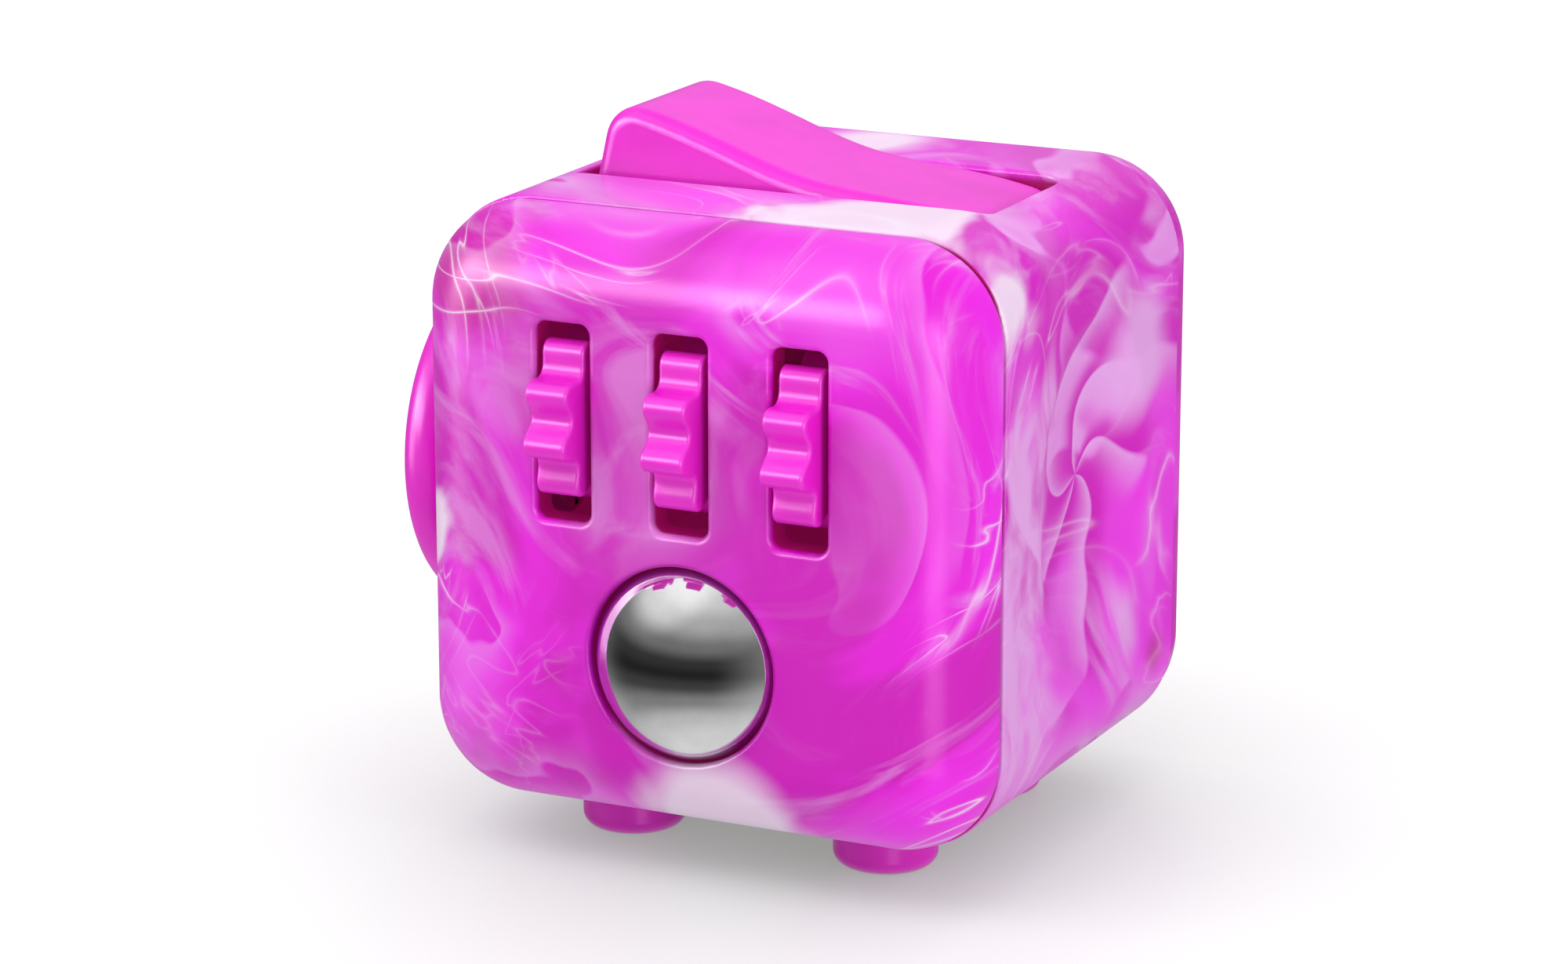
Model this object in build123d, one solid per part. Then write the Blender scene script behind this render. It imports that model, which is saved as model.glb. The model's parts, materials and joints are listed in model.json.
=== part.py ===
from build123d import *
import math
import os

# A fidget cube: a rounded hand-held plastic cube with a different toy on each of its six faces.
#   front (-Y)   three lobed thumb wheels in slots, above a steel ball that rolls and clicks
#   back (+Y)    a flat dial that spins
#   top (+Z)     a rocker switch that rests with one end up
#   bottom (-Z)  five push buttons, on which the cube stands
#   left (-X)    a thumb disc on a stem that tilts every way and springs back
#   right (+X)   a smooth hollow for the thumb
# The casing is a square sleeve closed by a front and a back cover. All sizes are millimetres.
# Everything is drawn about the cube's centre and lifted by CENTRE_Z when it is written, so that
# the origin is the middle of the centre button's end, where the cube stands.

# ---- clearances, used throughout ----
RUN = 0.03                # a shaft or a screw in its hole, on the radius
GRIP = 0.01               # a pin that stays put in its hole, on the radius
SEAT_GAP = 0.05           # between two parts screwed or slipped together
ROOT = 0.3                # how far a boss or a post is sunk in the wall that it grows from
PAST = 0.1                # how far a cutter runs past the face that it cuts
CATCH = 0.05              # margin of the box that picks an edge to round

# ---- casing ----
CUBE = 33.0
HALF = CUBE / 2
SEAM_Y = 11.9             # the covers meet the sleeve at +-SEAM_Y
SEAM_GAP = 0.05           # each side of the seam
COVER_INSET = 0.15        # the covers' outline lies this far inside the sleeve's
SLEEVE_CORNER = 5.6
COVER_CORNER = SLEEVE_CORNER - COVER_INSET
COVER_EDGE = 4.5          # big rounding round each cover's face
COVER_INNER_EDGE = 2.5
WALL = 2.0
COVER_WALL = 1.8
INNER = HALF - WALL       # inside face of the sleeve
COVER_INNER = HALF - COVER_WALL
SLEEVE_END = SEAM_Y - SEAM_GAP
COVER_END = SEAM_Y + SEAM_GAP
SEAM_EDGE = 0.16          # broken edge at the seam
HOLE_EDGE = 0.25          # rounding at the mouths of the openings
TONGUE_HALF = 5.0         # tongues on a cover that slip inside the sleeve
TONGUE_T = 0.6
TONGUE_DEPTH = 1.0
TONGUE_GAP = 0.08
TONGUE_ROOT = 0.4

# ---- screws ----
SCREW_R = 0.75
HEAD_R = 1.35
HEAD_H = 0.9
HEAD_ROUND = 0.4          # of the head's height
CROSS_WIDTH, CROSS_HALF = 0.3, 0.7    # of the head's radius
CROSS_DEPTH = 0.55        # of the head's height
CORNER_X = 12.6           # corner screws, from the centre
CORNER_Z = 10.4
CORNER_LUG = 1.75         # half the width of a corner lug
FRONT_LUG_Y = -10.76      # back of the front lugs
REAR_LUG_Y = 9.6          # back of the rear lugs, where the core frame sits
REAR_LUG_DEPTH = 2.2
COVER_BOSS_R = 1.7
POST_R = 1.6              # posts and bosses for the smaller screws
BACK_SCREW = 4.7          # back cover screws, hidden under the dial, at +-x and +-z
SUNK = 1.15               # depth of the sunk seats under their heads
HEAD_GAP = 0.15           # round a sunk head
COVER_SCREW_L, FRAME_SCREW_L, BACK_SCREW_L = 3.2, 3.0, 5.2
EAR_SCREW_L, BOARD_SCREW_L, HOUSING_SCREW_L = 3.4, 2.3, 2.6

# ---- core frame ----
FRAME_T = 1.15
FRAME_LEFT, FRAME_RIGHT = -7.4, 9.0
FRAME_HALF_Z = 9.0
ARM_INNER_X = 6.5         # arms from the plate to the corner lugs
ARM_HALF = 1.4
STILE_X0, STILE_X1 = 6.0, 8.4
FRAME_POST_R = 1.8
FRAME_POST_Y = 7.2        # front end of the posts for the back cover's screws
BEAM_HALF_X = 2.4         # beam that carries the rocker's cam
BEAM_FRONT_Y = -2.6
BEAM_Z0, BEAM_Z1 = 2.95, 4.1

# ---- thumb wheels ----
WHEEL_XS = (-6.85, 0.0, 6.85)
WHEEL_Y = -14.0
WHEEL_Z = 5.6
WHEEL_R = 4.65
WHEEL_VALLEY_R = 3.6
WHEEL_WIDTH = 2.5
WHEEL_LOBES = 9
WHEEL_PHASE = -13.4       # degrees up from straight out, of the lobe nearest to it
WHEEL_EDGE = 0.2
LOBE_FULLNESS = 0.25      # 0 is a plain wave, more makes the lobes and the valleys broader
POINTS_PER_LOBE = 8
AXLE_R = 1.0
AXLE_HALF = 10.1
BRACKET_Y = -8.7          # front of the plate behind the wheels
BRACKET_T = 1.0
BRACKET_HALF_Z = 2.2
SADDLE_XS = (-9.5, -3.43, 3.43, 9.5)
SADDLE_HALF = 0.6
SLOT_WIDTH = 3.2
SLOT_LENGTH = 10.7
SLOT_CORNER = 0.6
SLOT_EDGE = 0.35
LEAF_HALF_X, LEAF_HALF_Z, LEAF_T = 0.9, 1.7, 0.15
LEAF_LIFT = 0.3           # of the leaf's front off the plate
LEAF_FOOT = 0.25
RIB_R = 0.3
RIB_GAP = 0.06            # between the rib, pushed back, and a lobe's tip

# ---- screw ears of the wheels' bracket and the ball's socket ----
EAR_BOSS_Y = -11.0        # end of the front cover's bosses
EAR_FRONT_Y = EAR_BOSS_Y + SEAT_GAP
EAR_BACK_Y = -9.9
BRACKET_EAR_X = 11.9      # screw centres
BRACKET_EAR_X0, BRACKET_EAR_X1 = 9.0, 13.4
BRACKET_EAR_HALF = 1.5
SOCKET_EAR_X = 9.3
SOCKET_EAR_X1 = 10.9
SOCKET_EAR_HALF = 1.6

# ---- ball ----
BALL_R = 6.0
BALL_Y = -13.1
BALL_Z = -6.8
BALL_HOLE_R = 5.35        # smaller than the ball, so that it cannot fall out
BALL_LIP_EDGE = 0.3
BALL_GAP = 0.06           # between the ball and its spherical seat in the front cover
SOCKET_R = 6.15           # bore of the socket tube
SOCKET_WALL = 0.6
SOCKET_FRONT_Y = -13.6
SOCKET_FLOOR_Y = -4.7     # front of the socket's floor
SOCKET_FLOOR = 0.8
PLUNGER_FRONT_Y = -9.6
PLUNGER_BACK_Y = -6.2
PLUNGER_GAP = 0.1         # in the socket's bore
CUP_GAP = 0.15            # between the ball and the cup round its seat
NIB_R, NIB = 1.2, 0.25
SEAT_R = 3.2
SEAT_BACK_Y = -6.7
SEAT_T = 1.22
SEAT_RUN = 0.03
BALL_COIL_R, BALL_WIRE_R, BALL_COIL_L, BALL_TURNS = 4.6, 0.13, 0.8, 1.9
BALL_DOME_R, BALL_DOME_H = 2.4, 0.6

# ---- buttons ----
BUTTON_X = 7.6
BUTTON_Y = 7.05
BUTTON_R = 2.85
CENTRE_BUTTON_R = 3.0
BUTTON_GAP = 0.35         # round each cap
BUTTON_PROUD = 2.8
BUTTON_EDGE = 0.75
BUTTON_SKIN = 0.6
BUTTON_POST_R = 0.9
FLANGE_EXTRA = 0.65       # flange beyond the cap
FLANGE_H = 0.7
FLANGE_GAP = 0.1          # over the inside of the sleeve
BOARD_Z = -12.2           # underside of the board that backs the buttons
BOARD_H = 1.0
BOARD_HALF_X, BOARD_HALF_Y, BOARD_CORNER = 10.6, 9.4, 1.0
NOTCH_HALF_X, NOTCH_GAP = 5.45, 0.3
POCKET_FLOOR = 1.7        # thickness of a cap's end
POST_TOP = -13.9          # end of the post inside a cap
COIL_R, WIRE_R, COIL_TURNS = 1.8, 0.16, 5.5
DOME_SHEET = 0.15
DOME_R, DOME_H = 1.4, 0.45
PAD_PILL_R, PAD_PILL_H, PAD_PILL_EDGE = 1.3, 0.44, 0.2
TOUCH = 0.01              # gap between a dome or a pad and what it sits on
BUTTONS = {
    "front_left": (-BUTTON_X, -BUTTON_Y, BUTTON_R, "click"),
    "front_right": (BUTTON_X, -BUTTON_Y, BUTTON_R, "silent"),
    "centre": (0.0, 0.0, CENTRE_BUTTON_R, "click"),
    "back_left": (-BUTTON_X, BUTTON_Y, BUTTON_R, "silent"),
    "back_right": (BUTTON_X, BUTTON_Y, BUTTON_R, "click"),
}
BOARD_POSTS = ((-7.9, 0.0), (7.9, 0.0), (0.0, 7.0))

# ---- rocker switch ----
ROCKER_PIVOT_Z = 11.5
ROCKER_TILT = 12.5        # degrees either side of level
ROCKER_WIDTH = 9.9
ROCKER_HUMP_X = 9.7
ROCKER_HUMP_Z = 6.65      # above the pivot
ROCKER_MIDDLE_Z = 5.85
ROCKER_END_R = 2.0        # rounding of the ends, beyond the humps
ROCKER_BOTTOM_Z = 1.0
ROCKER_EDGE = 0.85
ROCKER_SKIN = 1.3
ROCKER_HALF = ROCKER_HUMP_X + ROCKER_END_R
ROCKER_HUB_R = 2.1
ROCKER_RIB_HALF = 1.1
STALK_R, STALK_END_Z = 2.0, -4.3      # hollow stalk that holds the detent's spring and plunger
STALK_BORE_R, STALK_BORE_Z = 1.2, -1.35
OPENING_LENGTH = 24.5
OPENING_WIDTH = 10.6
OPENING_CORNER = 1.0
RELIEF_HALF = 12.7        # the opening is longer on the inside, where the ends swing out
RELIEF_Z = 15.6
ROCKER_PIN_R = 1.0
EAR_Y0, EAR_Y1 = 5.5, 7.1
EAR_R = 2.2
TIP_R = 1.1               # round end of the detent plunger
TIP_REACH = 6.0           # from the pivot to the tip, drawn in
TIP_TRAVEL = 0.4
TIP_GAP = 0.05
PLUNGER_R, PLUNGER_TOP_Z = 1.15, -2.9
ROCKER_COIL_R, ROCKER_WIRE_R, ROCKER_COIL_L, ROCKER_TURNS = 0.85, 0.13, 1.48, 3.5
CAM_HALF_X, CAM_HALF_Y = 3.2, 1.8
CAM_TOP_Z = 5.9

# ---- joystick ----
STICK_PIVOT_X = -12.0
DISC_R = 9.75
DISC_OUT_X = -20.8
DISC_T = 2.5
DISC_DISH = 0.65
WEB_T = 1.0               # of the disc's middle
WEB_SLOPE = 1.2           # width of the rim's inner slope, underneath
HUB_R = 5.25
HUB_PROUD = 0.15
HUB_DRAFT = 0.12
STEM_Y, STEM_Z = 5.05, 6.2
STEM_CORNER = 1.6
STEM_END_X = -13.6        # where the oblong part gives way to the round neck
STICK_HOLE_R = 4.6
NECK_R = 2.2              # round part of the stem, inside the gimbal ring
NECK_END_X = -10.4
TAIL_R = 1.0
TAIL_END_X = -6.2
RING_IN, RING_OUT, RING_T = 3.0, 4.6, 1.8
GIMBAL_PIN_R = 0.6
GIMBAL_PIN_IN, GIMBAL_PIN_OUT = 3.2, 6.1
STICK_PIN_HALF = 4.4
STICK_EAR_Y = 9.2         # screw centres of the housing's ears
STICK_EAR_Y0, STICK_EAR_OVER, STICK_EAR_HALF = 5.8, 1.7, 1.7
STICK_POST = 2.5          # height of the posts for the housing's screws
HOUSING_EAR_X0, HOUSING_EAR_X1 = -11.95, -10.8
HOUSING_R, HOUSING_BORE_R = 6.5, 5.3
HOUSING_FLOOR_X, HOUSING_END_X = -9.4, -8.4
HOUSING_HOLE_R = 2.4
COLLAR_R, COLLAR_T = 3.0, 0.78
COLLAR_GAP = 0.02
TAIL_SCREW_R, TAIL_HEAD_R, TAIL_SCREW_L, TAIL_HOLE = 0.55, 1.1, 3.4, 3.0
STICK_COIL_R, STICK_WIRE_R, STICK_TURNS = 2.55, 0.17, 2
STICK_COIL_L = 1.3        # drawn as it is on the squeezed side

# ---- spinning dial ----
DIAL_R = 9.35
DIAL_GAP = 0.5
DIAL_FACE_Y = 16.3
DIAL_T = 1.6
DIAL_EDGE = 0.3
RECESS_Y = 14.45          # floor of the recess in the back cover
RECESS_FLOOR = 2.0
RECESS_WALL = 1.2
DIAL_SHAFT_R = 1.5
SHAFT_OVER = 0.15         # end of the shaft beyond its bush
SHAFT_HOLE = 3.0
BUSH_R = 2.1
BOSS_R = 2.65
BOSS_GAP = 0.15           # round the boss, in the core frame
BOSS_END_Y = 10.0
WASHER_R, WASHER_T, WASHER_GAP = 2.4, 0.5, 0.02
PAD_X, PAD_Z, PAD_R = -6.65, 1.0, 1.9
PAD_PROUD = 0.35
PAD_EDGE = 0.25
PAD_DISH_R, PAD_DISH_DEPTH = 3.0, 0.2
DOT_ARC_R = 7.2           # two arcs of raised dots, from the pad's place on the dial
DOT_R, DOT_PROUD = 0.38, 0.14
DOT_FIRST, DOT_STEP, DOTS = 30.0, 10.5, 6     # degrees from the pad, degrees apart, dots in an arc

# ---- thumb hollow ----
HOLLOW_DEPTH = 1.7
HOLLOW_Y, HOLLOW_Z = 14.6, 19.8     # across and along
HOLLOW_RISE = 0.4         # its centre above the cube's
HOLLOW_BULGE = 8.0        # half-thickness of the ellipsoid it is cut with
HOLLOW_EDGE = 1.6
HOLLOW_BACKING = 1.6      # extra wall on the inside, behind it

CENTRE_Z = HALF + BUTTON_PROUD


# ---- plain shapes ----
def block(x0, x1, y0, y1, z0, z1):
    centre = Pos((x0 + x1) / 2, (y0 + y1) / 2, (z0 + z1) / 2)
    return centre * Box(x1 - x0, y1 - y0, z1 - z0)


def rod_x(radius, x0, x1, y=0.0, z=0.0):
    return Pos((x0 + x1) / 2, y, z) * Rot(0, 90, 0) * Cylinder(radius, x1 - x0)


def rod_y(radius, y0, y1, x=0.0, z=0.0):
    return Pos(x, (y0 + y1) / 2, z) * Rot(90, 0, 0) * Cylinder(radius, y1 - y0)


def rod_z(radius, z0, z1, x=0.0, y=0.0):
    return Pos(x, y, (z0 + z1) / 2) * Cylinder(radius, z1 - z0)


def prism_x(outline, x0, x1):
    return extrude(Plane.YZ.offset(x0) * outline, x1 - x0)


def prism_y(outline, y0, y1):
    return extrude(Plane.XZ.offset(-y1) * outline, y1 - y0)


def prism_z(outline, z0, z1):
    return extrude(Plane.XY.offset(z0) * outline, z1 - z0)


def outward(side, near, far):
    """The span from near to far on the side of the middle that side's sign gives, low end first."""
    return sorted((math.copysign(near, side), math.copysign(far, side)))


def corners(x, z):
    return [(x * sx, z * sz) for sx in (-1, 1) for sz in (-1, 1)]


def mouths(face):
    """Edges of the holes in a flat face."""
    return [edge for wire in face.inner_wires() for edge in wire.edges()]


def edges_in(body, xs, ys, zs):
    """Edges whose middles lie in a box."""
    found = body.edges().filter_by_position(Axis.X, *xs)
    return found.filter_by_position(Axis.Y, *ys).filter_by_position(Axis.Z, *zs)


def screw(length, radius=SCREW_R, head=HEAD_R):
    """Pan-head screw with a cross recess: head above z = 0, shank below."""
    body = rod_z(head, 0, HEAD_H)
    body = fillet(body.edges().sort_by(Axis.Z)[-1], HEAD_H * HEAD_ROUND)
    body += rod_z(radius, -length, 0)
    reach, blade = head * CROSS_HALF, head * CROSS_WIDTH / 2
    floor = HEAD_H * (1 - CROSS_DEPTH)
    for angle in (0, 90):
        body -= Rot(0, 0, angle) * block(-reach, reach, -blade, blade, floor, HEAD_H)
    return body


def coil(mean_r, wire_r, height, turns):
    """Compression spring standing on z = 0, its wire's centre running from end to end."""
    rise = height - 2 * wire_r
    path = Pos(0, 0, wire_r) * Helix(rise / turns, rise, mean_r)
    section = Plane(path @ 0, z_dir=path % 0) * Circle(wire_r)
    return sweep(section, path=path, is_frenet=True)


def dome(base_r, height):
    """Snap dome: a shallow cap of sheet metal, base on z = 0, top up."""
    radius = (base_r**2 + height**2) / (2 * height)
    shell = Sphere(radius) - Sphere(radius - DOME_SHEET)
    cap = Pos(0, 0, height - radius) * shell
    return cap & block(-radius, radius, -radius, radius, 0, 2 * height)


# ---- casing ----
def hollow_cutter():
    """Ellipsoid whose cap below the right face is the thumb hollow."""
    rim = math.sqrt(1 - (1 - HOLLOW_DEPTH / HOLLOW_BULGE) ** 2)
    cutter = scale(Sphere(1), by=(HOLLOW_BULGE, HOLLOW_Y / 2 / rim, HOLLOW_Z / 2 / rim))
    return Pos(HALF + HOLLOW_BULGE - HOLLOW_DEPTH, 0, HOLLOW_RISE) * cutter


def sleeve_outside():
    """The sleeve as a solid, with the hollow and the openings of the top and the bottom."""
    body = prism_y(RectangleRounded(CUBE, CUBE, SLEEVE_CORNER), -SLEEVE_END, SLEEVE_END)
    rims = body.faces().sort_by(Axis.Y)
    body = fillet(rims[0].edges() + rims[-1].edges(), SEAM_EDGE)
    body -= prism_z(RectangleRounded(OPENING_LENGTH, OPENING_WIDTH, OPENING_CORNER), 0, HALF)
    for x, y, radius, _ in BUTTONS.values():
        body -= rod_z(radius + BUTTON_GAP, -HALF, 0, x, y)
    across, along = OPENING_WIDTH / 2 + CATCH, OPENING_LENGTH / 2 + CATCH
    lip = edges_in(body, (-along, along), (-across, across), (HALF - OPENING_CORNER, HALF + CATCH))
    body = fillet(lip, HOLE_EDGE)
    body = fillet(mouths(body.faces().sort_by(Axis.Z)[0]), HOLE_EDGE)
    body -= hollow_cutter()
    return fillet(mouths(body.faces().sort_by(Axis.X)[-1]), HOLLOW_EDGE)


def middle_housing():
    """Square sleeve with the rocker's opening, the button holes, the stick's hole and the hollow."""
    body = sleeve_outside()

    # the inside, leaving the wall thick behind the hollow
    cavity = prism_y(RectangleRounded(2 * INNER, 2 * INNER, SLEEVE_CORNER - WALL), -HALF, HALF)
    backing = Pos(0, HOLLOW_RISE) * Ellipse(HOLLOW_Y / 2, HOLLOW_Z / 2)
    body -= cavity - prism_x(backing, INNER - HOLLOW_BACKING, INNER)
    half_width = OPENING_WIDTH / 2
    body -= block(-RELIEF_HALF, RELIEF_HALF, -half_width, half_width, ROCKER_PIVOT_Z, RELIEF_Z)
    body -= rod_x(STICK_HOLE_R, -HALF, -INNER + PAST)

    # lugs for the corner screws
    for x, z in corners(CORNER_X, CORNER_Z):
        x0, x1 = outward(x, CORNER_X - CORNER_LUG, INNER + ROOT)
        for y0, y1 in ((-SLEEVE_END, FRONT_LUG_Y), (REAR_LUG_Y - REAR_LUG_DEPTH, REAR_LUG_Y)):
            body += block(x0, x1, y0, y1, z - CORNER_LUG, z + CORNER_LUG)
            body -= rod_y(SCREW_R + RUN, y0, y1, x, z)

    # ears for the rocker's pin, posts for the stick's housing and the buttons' board
    for side in (-1, 1):
        y0, y1 = outward(side, EAR_Y0, EAR_Y1)
        ear = block(-EAR_R, EAR_R, y0, y1, ROCKER_PIVOT_Z, INNER + ROOT)
        ear += rod_y(EAR_R, y0, y1, 0, ROCKER_PIVOT_Z)
        body += ear - rod_y(ROCKER_PIN_R + GRIP, y0, y1, 0, ROCKER_PIVOT_Z)
        post = rod_x(POST_R, -INNER - ROOT, -INNER + STICK_POST, side * STICK_EAR_Y)
        body += post - rod_x(SCREW_R + RUN, -INNER + ROOT, -INNER + STICK_POST, side * STICK_EAR_Y)
    for x, y in BOARD_POSTS:
        post = rod_z(POST_R, -INNER - ROOT, BOARD_Z, x, y)
        body += post - rod_z(SCREW_R + RUN, -INNER + PAST, BOARD_Z, x, y)
    return body


def cover_shell():
    """Front cover before its openings: a shallow rounded dish with its face at -Y."""
    width = CUBE - 2 * COVER_INSET
    body = prism_y(RectangleRounded(width, width, COVER_CORNER), -HALF, -COVER_END)
    body = fillet(body.faces().sort_by(Axis.Y)[0].edges(), COVER_EDGE)
    body = fillet(body.faces().sort_by(Axis.Y)[-1].edges(), SEAM_EDGE)
    inside = 2 * (INNER - SEAT_GAP)
    hollow = prism_y(RectangleRounded(inside, inside, SLEEVE_CORNER - WALL), -COVER_INNER, -COVER_END)
    body -= fillet(hollow.faces().sort_by(Axis.Y)[0].edges(), COVER_INNER_EDGE)

    # tongues that slip inside the sleeve and line the cover up
    top = INNER - TONGUE_GAP
    foot = -COVER_END - TONGUE_T
    for angle in (0, 90, 180, 270):
        tongue = block(-TONGUE_HALF, TONGUE_HALF, foot, TONGUE_DEPTH - COVER_END, top - TONGUE_T, top)
        root = block(-TONGUE_HALF, TONGUE_HALF, foot, -COVER_END, top - TONGUE_T, top + TONGUE_ROOT)
        body += Rot(0, angle, 0) * (tongue + root)
    return body


def cover_boss(radius, y1, x, z):
    """Screw boss on the inside of the front cover, ending at y1."""
    return rod_y(radius, -COVER_INNER - ROOT, y1, x, z) - rod_y(SCREW_R + RUN, -COVER_INNER, y1, x, z)


def front_cover():
    """Cover with three wheel slots and the ball's seat, and the bosses that carry what is behind."""
    body = cover_shell()
    for x in WHEEL_XS:
        slot = RectangleRounded(SLOT_WIDTH, SLOT_LENGTH, SLOT_CORNER)
        body -= prism_y(Pos(x, WHEEL_Z) * slot, -HALF, -COVER_INNER + PAST)
    body = fillet(mouths(body.faces().sort_by(Axis.Y)[0]), SLOT_EDGE)
    body -= rod_y(BALL_HOLE_R, -HALF, BALL_Y, 0, BALL_Z)
    reach = BALL_HOLE_R + CATCH
    lip = edges_in(body, (-reach, reach), (-HALF - CATCH, -HALF + CATCH), (BALL_Z - reach, BALL_Z + reach))
    body = fillet(lip, BALL_LIP_EDGE)
    body -= Pos(0, BALL_Y, BALL_Z) * Sphere(BALL_R + BALL_GAP)

    for x, z in corners(CORNER_X, CORNER_Z):
        body += cover_boss(COVER_BOSS_R, -COVER_END, x, z)
    for side in (-1, 1):
        body += cover_boss(POST_R, EAR_BOSS_Y, side * BRACKET_EAR_X, WHEEL_Z)
        body += cover_boss(POST_R, EAR_BOSS_Y, side * SOCKET_EAR_X, BALL_Z)
    reach = AXLE_HALF + PAST
    return body - rod_x(AXLE_R + GRIP, -reach, reach, WHEEL_Y, WHEEL_Z)


def back_cover():
    """The same dish turned round, with a round recess for the dial and a boss for its shaft."""
    body = Rot(0, 0, 180) * cover_shell()
    back_of_floor = RECESS_Y - RECESS_FLOOR
    body += rod_y(DIAL_R + DIAL_GAP + RECESS_WALL, back_of_floor, COVER_INNER + ROOT)
    body -= rod_y(DIAL_R + DIAL_GAP, RECESS_Y, HALF)
    body = fillet(mouths(body.faces().sort_by(Axis.Y)[-1]), HOLE_EDGE)
    body += rod_y(BOSS_R, BOSS_END_Y, back_of_floor)
    body -= rod_y(BUSH_R + GRIP, BOSS_END_Y, RECESS_Y)
    for x, z in corners(BACK_SCREW, BACK_SCREW):
        body -= rod_y(SCREW_R + RUN, back_of_floor, RECESS_Y, x, z)
        body -= rod_y(HEAD_R + HEAD_GAP, RECESS_Y - SUNK, RECESS_Y, x, z)
    return body


def core_frame():
    """Inner frame: a plate across the sleeve with arms to the corner lugs, posts for the back
    cover's screws and a beam under the rocker."""
    y0 = REAR_LUG_Y + SEAT_GAP
    y1 = y0 + FRAME_T
    body = block(FRAME_LEFT, FRAME_RIGHT, y0, y1, -FRAME_HALF_Z, FRAME_HALF_Z)
    for x, z in corners(CORNER_X, CORNER_Z):
        body += block(*outward(x, ARM_INNER_X, CORNER_X + ARM_HALF), y0, y1, z - ARM_HALF, z + ARM_HALF)
        body += block(*outward(x, STILE_X0, STILE_X1), y0, y1, *sorted((0, z)))
    for x, z in corners(BACK_SCREW, BACK_SCREW):
        body += rod_y(FRAME_POST_R, FRAME_POST_Y, RECESS_Y - RECESS_FLOOR - SEAT_GAP, x, z)
    body += block(-BEAM_HALF_X, BEAM_HALF_X, BEAM_FRONT_Y, y1, BEAM_Z0, BEAM_Z1)
    for x, z in corners(CORNER_X, CORNER_Z):
        body -= rod_y(SCREW_R + RUN, y0, y1, x, z)
    for x, z in corners(BACK_SCREW, BACK_SCREW):
        body -= rod_y(SCREW_R + RUN, FRAME_POST_Y, RECESS_Y, x, z)
    return body - rod_y(BOSS_R + BOSS_GAP, y0, y1)


# ---- thumb wheels ----
def wheel_outline():
    """Closed wavy outline: WHEEL_LOBES broad round lobes with round valleys between them."""
    mean, swing = (WHEEL_R + WHEEL_VALLEY_R) / 2, (WHEEL_R - WHEEL_VALLEY_R) / 2
    steps = WHEEL_LOBES * POINTS_PER_LOBE
    points = []
    for step in range(steps):
        turn = 2 * math.pi * step / steps
        wave = math.cos(WHEEL_LOBES * turn)
        radius = mean + swing * wave * (1 + LOBE_FULLNESS - LOBE_FULLNESS * wave**2)
        angle = turn + math.radians(WHEEL_PHASE)
        points.append((-radius * math.cos(angle), radius * math.sin(angle)))
    return make_face(Spline(*points, periodic=True))


def wheel(x):
    half = WHEEL_WIDTH / 2
    body = prism_x(wheel_outline(), -half, half)
    sides = body.faces().sort_by(Axis.X)
    body = fillet(sides[0].edges() + sides[-1].edges(), WHEEL_EDGE)
    return Pos(x, WHEEL_Y, WHEEL_Z) * (body - rod_x(AXLE_R + RUN, -half, half))


def gear_axle():
    return rod_x(AXLE_R, -AXLE_HALF, AXLE_HALF, WHEEL_Y, WHEEL_Z)


def gear_bracket():
    """Saddles that hold the axle against the front cover, on a plate with two screw ears."""
    z0, z1 = WHEEL_Z - BRACKET_HALF_Z, WHEEL_Z + BRACKET_HALF_Z
    back = BRACKET_Y + BRACKET_T
    body = block(-AXLE_HALF, AXLE_HALF, BRACKET_Y, back, z0, z1)
    for x in SADDLE_XS:
        body += block(x - SADDLE_HALF, x + SADDLE_HALF, WHEEL_Y, back, z0, z1)
    low, high = WHEEL_Z - BRACKET_EAR_HALF, WHEEL_Z + BRACKET_EAR_HALF
    for side in (-1, 1):
        x0, x1 = outward(side, BRACKET_EAR_X0, BRACKET_EAR_X1)
        body += block(x0, x1, EAR_FRONT_Y, EAR_BACK_Y, low, high)
        body -= rod_y(SCREW_R + RUN, EAR_FRONT_Y, EAR_BACK_Y, side * BRACKET_EAR_X, WHEEL_Z)
    return body - rod_x(AXLE_R + GRIP, -AXLE_HALF, AXLE_HALF, WHEEL_Y, WHEEL_Z)


def wheel_click_spring(x):
    """Leaf on the bracket's plate whose round rib clicks on the lobes, drawn pushed back by one."""
    rib_y = WHEEL_Y + WHEEL_R + RIB_R + RIB_GAP
    front = BRACKET_Y - LEAF_LIFT
    low, high = WHEEL_Z - LEAF_HALF_Z, WHEEL_Z + LEAF_HALF_Z
    leaf = block(-LEAF_HALF_X, LEAF_HALF_X, front, front + LEAF_T, low, high)
    leaf += rod_x(RIB_R, -LEAF_HALF_X, LEAF_HALF_X, rib_y, WHEEL_Z)
    for foot in (low, high - LEAF_FOOT):
        leaf += block(-LEAF_HALF_X, LEAF_HALF_X, front, BRACKET_Y - TOUCH, foot, foot + LEAF_FOOT)
    return Pos(x, 0, 0) * leaf


# ---- ball ----
def ball():
    return Pos(0, BALL_Y, BALL_Z) * Sphere(BALL_R)


def ball_socket():
    """Tube behind the front cover that guides the ball and its plunger, with a floor and two ears."""
    outer = SOCKET_R + SOCKET_WALL
    body = rod_y(outer, SOCKET_FRONT_Y, SOCKET_FLOOR_Y + SOCKET_FLOOR, 0, BALL_Z)
    low, high = BALL_Z - SOCKET_EAR_HALF, BALL_Z + SOCKET_EAR_HALF
    for side in (-1, 1):
        x0, x1 = outward(side, outer - ROOT, SOCKET_EAR_X1)
        body += block(x0, x1, EAR_FRONT_Y, EAR_BACK_Y, low, high)
        body -= rod_y(SCREW_R + RUN, EAR_FRONT_Y, EAR_BACK_Y, side * SOCKET_EAR_X, BALL_Z)
    return body - rod_y(SOCKET_R, SOCKET_FRONT_Y, SOCKET_FLOOR_Y, 0, BALL_Z)


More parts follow.
